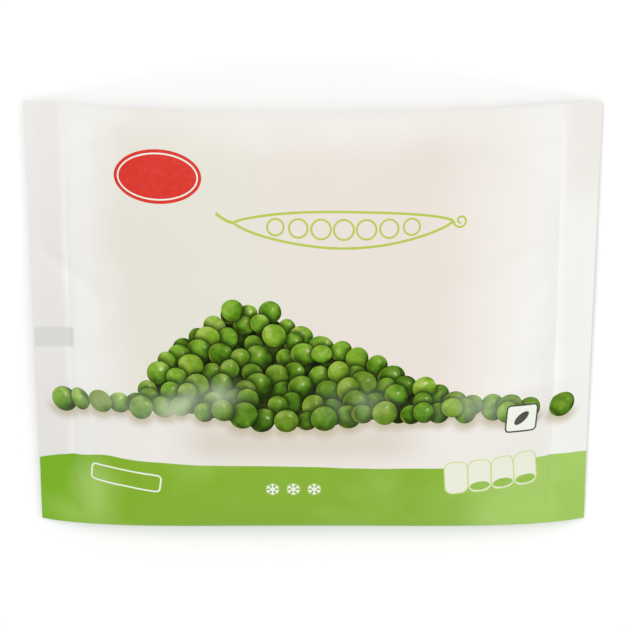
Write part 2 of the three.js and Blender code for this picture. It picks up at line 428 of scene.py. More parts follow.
def filmMesh(name, shapes, inks):
    places, shares = ringPlaces(), acrossShares()
    flat, triangles, tops, ids, edgeAt = cutFront(places, shares, shapes)
    fold = foldDistance(flat[:, 0])
    flatShare = np.clip(flat[:, 1] / fold, -1, 1)
    front = bowed(frontPoints(flat[:, 0], flatShare))
    x, s = np.meshgrid(places, shares, indexing="ij")
    back = bowed(backPoints(x, s))
    gridFront = bowed(frontPoints(x, s))
    back[:, 0], back[:, -1] = gridFront[:, 0], gridFront[:, -1]
    last, rings = len(shares) - 1, len(places)
    frontUp, backUp = lengthAlong(gridFront), lengthAlong(back)
    upFront = upAlong(flat[:, 0], flatShare, places, shares, frontUp)
    # the back's own points come after the front's, and the two share the fold lines
    backIds = len(flat) + np.arange(rings * (last - 1)).reshape(rings, last - 1)
    rims = (ids[:, 0], ids[:, -1], ids[0], ids[-1])  # the two folds and the two cut edges
    low, high, *cutEdges = ([edgeAt[int(k)] for k in rim] for rim in rims)
    backIds = np.column_stack([low, backIds, high])
    points = np.concatenate([front, back[:, 1:-1].reshape(-1, 3)])
    quads = cells(backIds)
    backCorners = np.stack([cells(x).ravel(), cells(-backUp).ravel()], 1)
    frontIds = np.array(triangles)
    frontCorners = np.stack([flat[frontIds, 0].ravel(), upFront[frontIds].ravel()], 1)
    faces = frontIds.tolist() + quads.tolist()
    corners = [frontCorners, backCorners]
    for ring, frontEdge in zip((0, rings - 1), cutEdges):  # the cut faces of the strips
        backEdge = backIds[ring].tolist()
        for j in range(last):
            face = list(dict.fromkeys([frontEdge[j], frontEdge[j + 1], backEdge[j + 1], backEdge[j]]))
            faces.append(face[::-1] if ring else face)
            corners.append(np.array([[places[ring], frontUp[ring, j]]] * len(face)))
    corners = np.concatenate(corners)
    mesh = bpy.data.meshes.new(name)
    mesh.from_pydata(points.tolist(), [], faces)
    for ink in inks.values():
        mesh.materials.append(ink)
    order = list(inks)
    inkOf = np.zeros(len(faces), int)
    inkOf[:len(tops)] = [0 if top < 0 else order.index(shapes[top]["ink"]) for top in tops]
    mesh.polygons.foreach_set("material_index", inkOf)
    balls, tones = np.zeros_like(corners), np.zeros_like(corners)
    shades = peaShades(flat[frontIds.ravel()] / mm, tops, shapes)
    tones[:len(shades), 1] = castShades(flat[frontIds.ravel()] / mm, shapes)
    for k, top in enumerate(tops):
        if top >= 0 and "lens" in shapes[top]:
            pea, own = shapes[top], slice(3 * k, 3 * k + 3)
            balls[own] = (flat[frontIds[k]] / mm - pea["centre"]) @ pea["lens"]
            tones[own, 0] = pea["tint"]
            lit = (1 - peaShade["behind"] * pea["depth"]) * (1 - peaShade["buried"] * pea["buried"])
            tones[own, 1] = 1 - lit * (1 - shades[own])
    for layer, values in (("film", corners), ("ball", balls), ("tone", tones)):
        mesh.uv_layers.new(name=layer).data.foreach_set("uv", values.ravel())
    shareOf = np.concatenate([flatShare, np.tile(shares[1:-1], rings)])
    placeOf = np.concatenate([flat[:, 0], np.repeat(places, last - 1)])
    fill = smooth((bodyHalf - abs(placeOf)) / fades["fillIn"])
    fill *= smooth((1 - abs(shareOf)) / fades["fillFold"])
    mesh.attributes.new("fill", "FLOAT", "POINT").data.foreach_set("value", fill)
    side = np.repeat([0, 1, 2], [len(triangles), len(quads), len(faces) - len(triangles) - len(quads)])
    mesh.attributes.new("side", "INT", "FACE").data.foreach_set("value", side)  # front, back, cut faces
    mesh.polygons.foreach_set("use_smooth", [True] * len(faces))
    return mesh


def radiiAway(spots, pea):  # from the pea's centre, in its own radii
    return np.linalg.norm((spots - pea["centre"]) @ pea["lens"], axis=1)


def peaShades(spots, tops, shapes):  # how much each printed corner lies in the shade of nearer peas
    layers = np.repeat([shapes[top]["layer"] if top >= 0 else math.inf for top in tops], 3)
    shades = np.zeros(len(spots))
    for pea in (shape for shape in shapes if "lens" in shape):
        shade = np.clip((peaShade["reach"] - radiiAway(spots, pea)) / (peaShade["reach"] - 1), 0, 1)
        shades = np.where(layers < pea["layer"], np.maximum(shades, shade), shades)
    return peaShade["depth"] * shades ** peaShade["falloff"]


def castShades(spots, shapes):  # the shade under the peas of the lowest row
    shades = np.zeros(len(spots))
    for pea in (shape for shape in shapes if "lens" in shape and shape["lower"] > peaShade["castFrom"]):
        shade = smooth((peaShade["castReach"] - radiiAway(spots, pea)) / (peaShade["castReach"] - 1))
        below = smooth((pea["centre"][1] - spots[:, 1]) / (pea["outline"][:, 1].max() - pea["centre"][1]))
        shades = np.maximum(shades, shade * below)
    return shades


def steadyNormals(mesh):  # weighted by area, so that slivers at the print's edges count for nothing
    corners, sides = np.zeros(len(mesh.loops), int), np.zeros(len(mesh.polygons), int)
    sizes, areas = np.zeros(len(mesh.polygons), int), np.zeros(len(mesh.polygons))
    normals = np.zeros(len(mesh.polygons) * 3)
    mesh.loops.foreach_get("vertex_index", corners)
    mesh.polygons.foreach_get("loop_total", sizes)
    mesh.polygons.foreach_get("area", areas)
    mesh.polygons.foreach_get("normal", normals)
    mesh.attributes["side"].data.foreach_get("value", sides)
    normals = normals.reshape(-1, 3)
    face = np.repeat(np.arange(len(sizes)), sizes)
    result = normals[face]
    for side in (0, 1):  # the two films meet in a sharp fold
        own = sides[face] == side
        total = np.zeros((len(mesh.vertices), 3))
        np.add.at(total, corners[own], (normals * areas[:, None])[face[own]])
        total /= np.maximum(np.linalg.norm(total, axis=1), 1e-12)[:, None]
        result[own] = total[corners[own]]
    mesh.normals_split_custom_set(result.tolist())


def upAlong(x, s, places, shares, up):  # the length up the film at any place, from the grid's
    r = np.clip(np.searchsorted(places, x) - 1, 0, len(places) - 2)
    c = np.clip(np.searchsorted(shares, s) - 1, 0, len(shares) - 2)
    a = (x - places[r]) / (places[r + 1] - places[r])
    b = (s - shares[c]) / (shares[c + 1] - shares[c])
    here = (1 - b) * up[r, c] + b * up[r, c + 1]
    beyond = (1 - b) * up[r + 1, c] + b * up[r + 1, c + 1]
    return (1 - a) * here + a * beyond


# Peas pressing on the film from inside: it sinks a little between them

peaLumps = {
    "Pea Pitch": 9.5 * mm,
    "Hollow Depth": 0.22 * mm,  # between the peas
    "Dent Size": 38 * mm,
    "Dent Depth": 0.5 * mm,
}


def peaLumpTree(filmInk):
    tree, given, out = geometryTree("peaLumps", {name: "Float" for name in peaLumps})
    fill = get(tree, "GeometryNodeInputNamedAttribute", {"Name": "fill"}, data_type="FLOAT")
    place = position(tree)
    scale = calc("DIVIDE", 1.0, given.outputs["Pea Pitch"])
    cell = {"Vector": place, "Scale": scale, "Smoothness": 0.6, "Randomness": 0.8}
    near = get(tree, "ShaderNodeTexVoronoi", cell, feature="SMOOTH_F1")
    hollow = times(fade(near, 0.25, 0.75), given.outputs["Hollow Depth"])
    broad = noise(place, calc("DIVIDE", 1.0, given.outputs["Dent Size"]), 1.5)
    dent = times(fade(broad, 0.35, 0.75), given.outputs["Dent Depth"])
    inwards = times(plus(hollow, dent), times(fill, -1.0))
    normal = get(tree, "GeometryNodeInputNormal")
    offset = get(tree, "ShaderNodeVectorMath", {0: normal, "Scale": inwards}, operation="SCALE")
    moved = put(tree, "GeometryNodeSetPosition", {"Geometry": given.outputs["Geometry"], "Offset": offset})
    solid = get(tree, "GeometryNodeRealizeInstances", {"Geometry": moved.outputs[0]})
    unprinted = calc("LESS_THAN", get(tree, "GeometryNodeInputMaterialIndex"), 0.5)
    inked = {"Geometry": solid, "Selection": unprinted, "Material": filmInk}
    tree.links.new(get(tree, "GeometryNodeSetMaterial", inked), out.inputs[0])
    return tree


# Printed shapes are drawn flat, in millimetres, as closed outlines

def ribbon(points, width, closed=False):  # a line of this width, as a row of small four-sided outlines
    path = np.array(points, float)
    ahead = np.roll(path, -1, axis=0) - path if closed else np.diff(path, axis=0, append=path[-1:])
    behind = path - np.roll(path, 1, axis=0) if closed else np.diff(path, axis=0, prepend=path[:1])
    along = ahead + behind
    along /= np.linalg.norm(along, axis=1)[:, None]
    side = np.stack([-along[:, 1], along[:, 0]], 1) * width / 2
    right, left = path - side, path + side
    count = len(path)
    cells = range(count if closed else count - 1)
    return [[right[i], right[(i + 1) % count], left[(i + 1) % count], left[i]] for i in cells]


def ellipse(x, y, across, up, sides, turn=0.0):
    angles = np.linspace(0, 2 * math.pi, sides, endpoint=False)
    flat = np.stack([across / 2 * np.cos(angles), up / 2 * np.sin(angles)], 1)
    return turned(flat, turn) + (x, y)


def turned(points, degrees):
    c, s = math.cos(math.radians(degrees)), math.sin(math.radians(degrees))
    return np.array(points) @ np.array([[c, s], [-s, c]])


def roundedBox(piece, x, y):
    radius, corners = piece["radius"], []
    for quarter, (sx, sy) in enumerate(((1, 1), (-1, 1), (-1, -1), (1, -1))):
        angles = np.linspace(0, math.pi / 2, 8) + quarter * math.pi / 2
        arc = np.stack([np.cos(angles), np.sin(angles)], 1) * radius
        corners.append(arc + (sx * (piece["across"] / 2 - radius), sy * (piece["up"] / 2 - radius)))
    return turned(evenly(np.concatenate(corners), 0.9, closed=True), piece["turn"]) + (x, y)


def evenly(points, gap, closed=False):  # the same line with points about this far apart
    path = np.array(points, float)
    path = np.concatenate([path, path[:1]]) if closed else path
    reach = np.concatenate([[0], np.cumsum(np.linalg.norm(np.diff(path, axis=0), axis=1))])
    stops = np.linspace(0, reach[-1], max(3, round(reach[-1] / gap)) + 1)
    stops = stops[:-1] if closed else stops
    return np.stack([np.interp(stops, reach, path[:, k]) for k in (0, 1)], 1)


def inkShapes(outlines, ink, layer):
    return [{"outline": outline, "ink": ink, "layer": layer} for outline in outlines]


# Materials

def newMaterial(name):
    made = bpy.data.materials.new(name)
    made.use_nodes = True
    return made, made.node_tree


filmFinish = {"Roughness": 0.42, "Unevenness": 0.25}  # the film's surface under every ink


def filmFinishGroup():
    tree = bpy.data.node_groups.new("filmFinish", "ShaderNodeTree")
    for name, value in filmFinish.items():
        tree.interface.new_socket(name, in_out="INPUT", socket_type="NodeSocketFloat").default_value = value
    tree.interface.new_socket("Roughness", in_out="OUTPUT", socket_type="NodeSocketFloat")
    tree.interface.new_socket("Normal", in_out="OUTPUT", socket_type="NodeSocketVector")
    given, out = tree.nodes.new("NodeGroupInput"), tree.nodes.new("NodeGroupOutput")
    place = objectPlace(tree)
    spots = swing(noise(place, *grains["gloss"]), 0.16)
    tree.links.new(plus(given.outputs["Roughness"], spots, clamp=True), out.inputs["Roughness"])
    ripples = noise(place, *grains["ripples"], Roughness=0.45)
    broad = noise(place, *grains["dents"], Distortion=0.6)
    height = plus(times(ripples, 0.12), broad)
    bumps = {"Height": height, "Strength": given.outputs["Unevenness"], "Distance": 0.6 * mm}
    tree.links.new(get(tree, "ShaderNodeBump", bumps), out.inputs["Normal"])
    return tree


finishGroup = filmFinishGroup()


def addFinish(tree, colour, gloss):
    shader = tree.nodes["Principled BSDF"]
    tree.links.new(colour, shader.inputs["Base Color"])
    shader.inputs["Specular IOR Level"].default_value = gloss
    finish = put(tree, "ShaderNodeGroup", filmFinish, node_tree=finishGroup)
    for name in ("Roughness", "Normal"):
        tree.links.new(finish.outputs[name], shader.inputs[name])


# the film's print colours, with painted highlights and glare among them
filmPrintAndPaintedLight = {
    "ends": paint(243, 241, 236),
    "leafy": paint(229, 226, 214),  # the warm middle of the white field, at the left
    "rosy": paint(233, 224, 215),  # and at the right
    "leafyToRosy": (-50 * mm, 20 * mm),
    "warmLeft": (-95 * mm, -66 * mm),
    "warmRight": (94 * mm, 42 * mm),
    "warmTop": (184 * mm, 158 * mm),  # up the film from the bottom fold
    "warmWander": 30 * mm,
    "paintedSheen": paint(254, 254, 252),  # a painted highlight where the film rises beside the end strips
    "paintedSheenAt": [(-97.5 * mm, 9 * mm, 0.4), (98.2 * mm, 4 * mm, 0.3)],
    "paintedSheenTop": (180 * mm, 158 * mm),
    "table": paint(237, 234, 228),  # what the printed heap lies on
    "tableTop": (65 * mm, 61 * mm),
    "tableShare": 0.9,
    "cast": paint(190, 178, 150),
    "castShare": 0.8,
    "shade": paint(221, 213, 200),  # under the heap
    "shadeEnds": ((-62 * mm, -38 * mm), (54 * mm, 26 * mm)),
    "shadeAt": (44.5 * mm, 9 * mm),
    "strip": paint(234, 231, 228),
    # the right strip is painted lighter up to near the top fold, as glare on it
    "rightStrip": paint(242, 242, 237),
    "rightStripTop": paint(236, 232, 227),
    "rightStripRise": (130 * mm, 150 * mm),
    "stripEdge": (bodyHalf - 0.5 * mm, bodyHalf + 4 * mm),
    "stripShare": 0.8,
    "stripWander": 4 * mm,  # how far the strips' inner edges stray
    "finMark": paint(217, 220, 212),  # the back seam, showing through the left strip
    "finMarkLow": 77.4 * mm,
    "finMarkHigh": 85.6 * mm,
    "finMarkSlope": 0.11,
    "finMarkStart": -107 * mm,
    "finMarkEnd": (-97 * mm, -98.5 * mm),
    "finMarkSoft": 0.6 * mm,
    "finMarkShare": 0.85,
    "bandLeft": paint(126, 180, 36),
    "band": paint(134, 177, 44),
    "bandLeftTo": (-104 * mm, -72 * mm),
    # the band's painted highlight: over its right part, weaker on the end strips, broken into patches
    "bandHighlight": paint(168, 205, 102),
    "bandHighlightFrom": (40 * mm, 90 * mm),
    "bandStripLoss": 0.15,
    "bandPatches": 1.3,
    "bandHighlightStreaks": [  # painted highlight streaks: along the pouch, reach, up the film, reach, share
        (-91 * mm, 9 * mm, 20 * mm, 16 * mm, 1.15),
        (-101 * mm, 9 * mm, 5 * mm, 8 * mm, 0.45),
    ],
    "bandTop": 34.2 * mm,  # its upper edge, up from the bottom fold along the film
    "bandSoft": 0.15 * mm,
    "bandBack": (-30.2 * mm, -30 * mm),  # how far it reaches round onto the back
    "bandDip": 6.4 * mm,  # how much lower its upper edge is at the left cut edge
    "bandCurl": 6.0,
    "bandSlope": 0.032,  # how fast it falls towards the right
    "bandHumps": [  # along the pouch, reach, rise
        (-86 * mm, 9 * mm, 1.8 * mm),
        (-54 * mm, 16 * mm, -0.9 * mm),
        (24 * mm, 42 * mm, -0.85 * mm),
        (88 * mm, 9 * mm, 0.5 * mm),
    ],
    "speck": paint(244, 244, 238),  # the film between an ink's grains
    "gloss": 0.15,
}


def bandRise(u):  # how far the band's upper edge lies below its height in the middle
    ink = filmPrintAndPaintedLight
    leftwards = calc("MAXIMUM", calc("DIVIDE", u, -halfWidth), 0.0)
    drop = times(calc("POWER", leftwards, ink["bandCurl"]), ink["bandDip"])
    drop = plus(drop, times(calc("MAXIMUM", u, 0.0), ink["bandSlope"]))
    for centre, reach, rise in ink["bandHumps"]:
        drop = minus(drop, times(spread(u, centre, reach), rise))
    return drop


def filmMaterial():  # fields of colour, placed along the film and up it, with painted highlights and glare among them
    made, tree = newMaterial("printedFilmAndPaintedLight")
    ink, along, place = filmPrintAndPaintedLight, mapParts(tree, "film"), objectPlace(tree)
    u, v = along["X"], along["Y"]
    clouds = swing(noise(place, *grains["warmth"]), ink["warmWander"])
    strayU, strayV = (plus(way, clouds) for way in (u, v))
    sides = ((strayU, "warmLeft"), (strayU, "warmRight"), (strayV, "warmTop"))
    warmth = times(*(fade(way, *ink[side]) for way, side in sides))
    warm = mixColour(fade(strayU, *ink["leafyToRosy"]), ink["leafy"], ink["rosy"])
    colour = mixColour(warmth, ink["ends"], warm)
    onTable = times(fade(v, *ink["tableTop"]), ink["tableShare"])
    colour = mixColour(onTable, colour, ink["table"])
    # painted highlights beside the end strips, fading out towards the top fold
    for centre, reach, share in ink["paintedSheenAt"]:
        share = times(fade(v, *ink["paintedSheenTop"]), share, spread(u, centre, reach))
        colour = mixColour(share, colour, ink["paintedSheen"])
    under = times(*(fade(u, *end) for end in ink["shadeEnds"]))
    under = times(under, spread(v, *ink["shadeAt"]))
    colour = mixColour(under, colour, ink["shade"])
    wander = noise(place, *grains["wander"])
    away = plus(calc("ABSOLUTE", u), swing(wander, ink["stripWander"]))
    inStrip = fade(away, *ink["stripEdge"])
    # the right strip's painted glare gives way to its plainer colour near the top fold
    strip = mixColour(fade(v, *ink["rightStripRise"]), ink["rightStrip"], ink["rightStripTop"])
    strip = mixColour(calc("GREATER_THAN", u, 0.0), ink["strip"], strip)
    colour = mixColour(times(inStrip, ink["stripShare"]), colour, strip)
    cast = times(mapParts(tree, "tone")["Y"], ink["castShare"])
    colour = mixColour(cast, colour, ink["cast"])
    low, high, soft = ink["finMarkLow"], ink["finMarkHigh"], ink["finMarkSoft"]
    level = minus(v, times(minus(u, ink["finMarkStart"]), ink["finMarkSlope"]))
    onMark = fade(level, low - soft, low + soft)
    onMark = times(onMark, fade(level, high + soft, high - soft))
    onMark = times(onMark, fade(u, *ink["finMarkEnd"]), ink["finMarkShare"])
    colour = mixColour(onMark, colour, ink["finMark"])
    above = plus(minus(v, ink["bandTop"]), bandRise(u))
    inBand = fade(above, ink["bandSoft"], -ink["bandSoft"])
    inBand = times(inBand, fade(v, *ink["bandBack"]))
    green = mixColour(fade(u, *ink["bandLeftTo"]), ink["bandLeft"], ink["band"])
    # the painted highlight on the band, over its right part and in streaks at the left
    inwards = minus(1.0, times(inStrip, ink["bandStripLoss"]))
    light = times(fade(u, *ink["bandHighlightFrom"]), inwards)
    for centre, reach, level, tall, most in ink["bandHighlightStreaks"]:
        streak = times(spread(u, centre, reach), spread(v, level, tall), most)
        light = calc("MAXIMUM", light, streak)
    light = plus(light, swing(wander, ink["bandPatches"]), clamp=True)
    green = mixColour(light, green, ink["bandHighlight"])
    addFinish(tree, mixColour(inBand, colour, green), ink["gloss"])
    return made


def inkMaterial(name, colour, grain):  # one flat ink, uneven as print on film is
    made, tree = newMaterial(name)
    share = times(fade(noise(objectPlace(tree), *grains["specks"]), 0.4, 0.75), grain)
    colour = mixColour(share, colour, filmPrintAndPaintedLight["speck"])
    addFinish(tree, colour, filmPrintAndPaintedLight["gloss"])
    return made


# the printed peas' inks, and a painted haze reflection laid over them
peaInkAndPaintedHaze = {
    "gap": paint(18, 26, 3),
    "dark": paint(38, 62, 8),
    "low": paint(66, 104, 12),
    "middle": paint(94, 146, 29),
    "high": paint(130, 173, 52),
    "pale": paint(172, 200, 96),
    "glint": paint(222, 232, 176),
    "yellow": paint(144, 168, 36),
    # the painted haze the film reflects over the peas
    "paintedHaze": paint(204, 220, 184),
    "rimLight": paint(156, 184, 56),
    "gloss": 0.05,
}
peaTones = ((0.26, "low"), (0.52, "middle"), (0.8, "high"))  # between the dark and the pale one
peaLight = {  # each share of a pea's brightness, and what is laid over it
    "dimples": 0.9,
    "side": 0.4,
    "sideMiddle": 0.6,
    "above": 0.33,
    "facing": 0.56,
    "facingPower": 0.7,
    "dapple": 1.3,
    "tint": 0.3,
    "tintMiddle": 0.25,
    "yellow": 0.25,
    "rimLight": 0.5,
    "glintAt": (0.12, 0.33),
    "glintStray": 0.34,
    "glintReach": (0.13, 0.14),
    "glint": 0.65,
    "glintMore": 0.8,  # from pea to pea
    "recessed": 0.4,  # some lie deeper in the heap
}
glow = [  # where the peas are lighter: along the pouch, across it, reach, share
    (-88 * mm, -31 * mm, 32 * mm, 0.26),
    (-28 * mm, 8 * mm, 26 * mm, 0.12),
]
paintedHazeSpots = [  # painted reflections of the film's haze over the printed peas: along the pouch, across it, reach, share
    (-59.5 * mm, -32 * mm, 8 * mm, 0.8),
    (-49.5 * mm, -30 * mm, 9 * mm, 0.9),
    (-39.5 * mm, -25 * mm, 8 * mm, 0.6),
    (-84 * mm, -31 * mm, 20 * mm, 0.25),
    (18 * mm, -28 * mm, 11 * mm, 0.22),
    (68 * mm, -31 * mm, 13 * mm, 0.45),
]


def nearSpot(axes, x, y, reach):  # wider along the pouch than across it
    return times(spread(axes["X"], x, reach), spread(axes["Y"], y, 0.6 * reach))


def withPaintedHaze(tree, colour):  # lays the painted haze reflections over a colour
    place = objectPlace(tree)
    axes = parts(place)
    ragged = fade(noise(place, *grains["paintedHaze"], Distortion=0.5), 0.2, 0.6)
    for x, y, reach, most in paintedHazeSpots:
        share = times(nearSpot(axes, x, y, reach), ragged, most)
        colour = mixColour(share, colour, peaInkAndPaintedHaze["paintedHaze"])
    return colour


def peaMaterial():  # each printed pea is shaded as a ball, lit from above
    made, tree = newMaterial("printedPeasAndPaintedHaze")
    ink, light, place = peaInkAndPaintedHaze, peaLight, objectPlace(tree)
    ball, tone, axes = mapParts(tree, "ball"), mapParts(tree, "tone"), parts(place)
    tint, depth = tone["X"], tone["Y"]
    other = calc("FRACT", times(tint, 7.31))  # a second draw for each pea
    dimples = parts(noise(place, *grains["dimples"], output="Color"))
    nx, ny = (plus(ball[way], swing(dimples[way], light["dimples"])) for way in ("X", "Y"))
    rim = plus(times(nx, nx), times(ny, ny))
    nz = calc("SQRT", calc("MAXIMUM", minus(1.0, rim), 0.0))
    dapple = noise(place, *grains["dapple"], Roughness=0.55)
    lit = plus(
        times(nx, swing(other, light["side"], light["sideMiddle"])),
        times(ny, light["above"]),
        times(calc("POWER", nz, light["facingPower"]), light["facing"]),
        swing(dapple, light["dapple"]),
        swing(tint, light["tint"], light["tintMiddle"]),
        *(times(nearSpot(axes, x, y, reach), most) for x, y, reach, most in glow),
    )
    ramp = put(tree, "ShaderNodeValToRGB", {"Fac": lit})
    stops = ramp.color_ramp.elements
    stops[0].color, stops[1].color = ink["dark"], ink["pale"]
    for where, name in peaTones:
        stops.new(where).color = ink[name]
    yellowish = times(fade(tint, 0.7, 1.0), light["yellow"])
    colour = mixColour(yellowish, ramp.outputs["Color"], ink["yellow"])
    bounced = times(fade(rim, 0.66, 1.0), fade(nx, 0.5, -0.9), light["rimLight"])
    colour = mixColour(bounced, colour, ink["rimLight"])
    (glintX, glintY), (reachX, reachY) = light["glintAt"], light["glintReach"]
    glintX = plus(glintX, times(other, light["glintStray"]))
    glint = times(spread(nx, glintX, reachX), spread(ny, glintY, reachY))
    glint = times(glint, fade(dapple, 0.4, 0.6))
    strength = plus(light["glint"], times(other, light["glintMore"]))
    colour = mixColour(times(glint, strength, clamp=True), colour, ink["glint"])
    recessed = times(fade(other, 0.5, 0.9), fade(axes["Y"], -4 * mm, -20 * mm))
    depth = calc("MAXIMUM", depth, times(recessed, light["recessed"]))
    colour = mixColour(depth, colour, ink["gap"])
    # painted haze reflections laid over the printed peas
    addFinish(tree, withPaintedHaze(tree, colour), ink["gloss"])
    return made


def gapMaterial():  # the dark between the peas, under the painted haze reflections
    made, tree = newMaterial("gapInkAndPaintedHaze")
    addFinish(tree, withPaintedHaze(tree, peaInkAndPaintedHaze["gap"]), peaInkAndPaintedHaze["gloss"])
    return made


# The printed heap: rows of round peas under its outline, the lower rows over the upper ones

heap = {
    "Columns": 26,
    "Rows": 9,
    "Column Pitch": 8.3 * mm,
    "Row Pitch": 6.1 * mm,
    "Edge Pitch": 7.8 * mm,  # between the peas along the outline
    "Pea Radius": 4.5 * mm,
    "Jitter": 1.9 * mm,
    "Left": -103 * mm,  # the first pea of the lowest row
    "Length": 207 * mm,
    "Base": -31.5 * mm,
    "Foot": -38 * mm,  # the nearest peas of the lowest row lie here
    "Foot Rise": 8.5 * mm,  # and the farthest this much farther up
    "Height": 42 * mm,
    "Seed": 7,
}
heapOutline = [  # its height along the row of peas, both from 0 to 1
    (0.0, 0.02), (0.14, 0.02), (0.195, 0.33), (0.228, 0.55), (0.275, 0.76), (0.36, 1.0), (0.41, 0.98),
    (0.48, 0.76), (0.58, 0.6), (0.64, 0.44), (0.673, 0.26), (0.709, 0.29), (0.75, 0.13), (0.79, 0.07),
    (0.85, 0.02), (0.93, 0.02), (0.935, 0.0), (0.962, 0.0), (0.967, 0.02), (1.0, 0.02),
]
heapBare = 0.3 * mm  # no peas where the outline is lower than this
darkBehind = {  # from and to are shares of the heap's length, drop is in radii of a pea
    "from": 0.16, "to": 0.725, "points": 60, "drop": 0.2, "below": 1 * mm,
}
singlePeas = [  # x, y and radius in millimetres, layer, tint
    (-31.8, 10.2, 4.5, 14.5, 0.55),
    (50.6, -33.4, 4.5, 19.5, 0.35),
]
heapFoot = [  # where the lowest row lies along the heap, between its nearest and its farthest
    (0.0, 0.4), (0.05, 0.75), (0.085, 0.96), (0.14, 0.88), (0.18, 0.76), (0.3, 0.59), (0.415, 0.45),
    (0.5, 0.32), (0.59, 0.38), (0.7, 0.65), (0.8, 0.73), (0.885, 0.61), (0.94, 0.41), (1.0, 0.01),
]


draws = {  # the heap's random draws: what is added to the seed, least, most
    "right": (0.0, -1.0, 1.0),
    "edgeRight": (4.0, -0.6, 0.6),
    "up": (10.0, -1.0, 1.0),
    "edgeUp": (14.0, -1.0, 0.4),
    "tint": (20.0, 0.0, 1.0),
    "turn": (30.0, 0.0, math.pi),
    "grow": (40.0, 0.82, 1.12),
    "longer": (50.0, 1.0, 1.16),
}
peaLayers = {"front": 20.0, "edge": 19.2, "back": 0.0}  # of each set's lowest row; the higher lie behind


def draw(pick, name, step=0.0):  # a random number for each pea
    seed, low, high = draws[name]
    inputs = {"Seed": plus(pick["Seed"], seed + step), 2: low, 3: high}
    return put(inputs["Seed"].id_data, "FunctionNodeRandomValue", inputs, data_type="FLOAT").outputs[1]


def note(mesh, name, value, kind="FLOAT"):  # keeps a value under this name
    inputs = {"Geometry": mesh, "Name": name, "Value": value}
    return get(mesh.id_data, "GeometryNodeStoreNamedAttribute", inputs, data_type=kind, domain="POINT")


def noted(tree, name, kind="FLOAT"):
    return get(tree, "GeometryNodeInputNamedAttribute", {"Name": name}, data_type=kind)


def vector(tree, x=0.0, y=0.0, z=0.0):
    return get(tree, "ShaderNodeCombineXYZ", {"X": x, "Y": y, "Z": z})


def movedTo(mesh, place):
    return get(mesh.id_data, "GeometryNodeSetPosition", {"Geometry": mesh, "Position": place})


def heapLine(pick, right, places, size):  # reads a line of places at this distance from the left
    line = put(right.id_data, "ShaderNodeFloatCurve", {"Value": calc("DIVIDE", right, pick["Length"])})
    curve = line.mapping.curves[0]
    curve.points[0].location, curve.points[-1].location = places[0], places[-1]
    for point in places[1:-1]:
        curve.points.new(*point)
    for point in curve.points:
        point.handle_type = "VECTOR"
    line.mapping.update()
    return times(line.outputs[0], pick[size])


def peasAt(tree, pick, points, right, up, clearance, layer, depth):  # keeps those under the outline
    height = heapLine(pick, right, heapOutline, "Height")
    outside = calc("GREATER_THAN", up, minus(height, clearance))
    away = calc("MAXIMUM", outside, calc("LESS_THAN", height, heapBare))
    lower = minus(1.0, calc("DIVIDE", up, pick["Height"]), clamp=True)
    foot = plus(heapLine(pick, right, heapFoot, "Foot Rise"), pick["Foot"])
    nearer = times(minus(foot, pick["Base"]), lower)
    place = vector(tree, plus(right, pick["Left"]), plus(up, pick["Base"], nearer))
    tint = draw(pick, "tint", depth)
    under = calc("DIVIDE", minus(height, up), times(pick["Height"], 0.6))
    facts = {
        "tint": tint, "layer": plus(layer, tint), "depth": depth, "lower": lower, "away": away,
        "buried": fade(under, 0.1, 1.0),
    }
    for name, value in facts.items():
        points = note(points, name, value)
    points = note(points, "place", place, "FLOAT_VECTOR")
    dropped = {"Geometry": points, "Selection": noted(tree, "away")}
    points = get(tree, "GeometryNodeDeleteGeometry", dropped)
    return movedTo(points, noted(tree, "place", "FLOAT_VECTOR"))


def jittered(pick, value, name, step=0.0):
    return plus(value, times(draw(pick, name, step), pick["Jitter"]))


def peaRows(tree, pick, isBack):  # the heap's rows; the back set fills the gaps between the peas
    width = times(minus(pick["Columns"], 1.0), pick["Column Pitch"])
    tall = times(minus(pick["Rows"], 1.0), pick["Row Pitch"])
    size = {"Size X": width, "Size Y": tall, "Vertices X": pick["Columns"], "Vertices Y": pick["Rows"]}
    grid = get(tree, "GeometryNodeMeshGrid", size)
    spot = parts(position(tree))
    up = plus(spot["Y"], times(tall, 0.5))
    right = plus(spot["X"], times(width, 0.5))
    row = calc("ROUND", calc("DIVIDE", up, pick["Row Pitch"]))
    odd = calc("MODULO", plus(row, float(isBack)), 2.0)
    right = plus(right, times(odd, 0.5, pick["Column Pitch"]))
    right = jittered(pick, right, "right", isBack)
    if isBack:
        up = plus(up, times(pick["Pea Radius"], 0.6))
    up = jittered(pick, up, "up", isBack)
    clearance = times(pick["Pea Radius"], 1.0 if isBack else 0.6)
    layer = minus(peaLayers["back" if isBack else "front"], row)
    return peasAt(tree, pick, grid, right, up, clearance, layer, float(isBack))


def peaEdge(tree, pick):  # one pea after another along the heap's outline
    steps = 400
    stride = vector(tree, calc("DIVIDE", pick["Length"], steps - 1.0))
    line = get(tree, "GeometryNodeMeshLine", {"Count": steps, "Offset": stride})
    right = parts(position(tree))["X"]
    line = movedTo(line, vector(tree, right, heapLine(pick, right, heapOutline, "Height")))
    curve = get(tree, "GeometryNodeMeshToCurve", {"Mesh": line})
    stops = {"Curve": curve, "Length": pick["Edge Pitch"]}
    curve = get(tree, "GeometryNodeResampleCurve", stops, mode="LENGTH")
    points = get(tree, "GeometryNodeCurveToMesh", {"Curve": curve})
    spot = parts(position(tree))
    right = jittered(pick, spot["X"], "edgeRight")
    up = jittered(pick, spot["Y"], "edgeUp")
    layer = minus(peaLayers["edge"], calc("DIVIDE", up, pick["Row Pitch"]))
    clearance = -20 * mm  # they may all stand above the outline
    return peasAt(tree, pick, points, right, up, clearance, layer, 0.0)


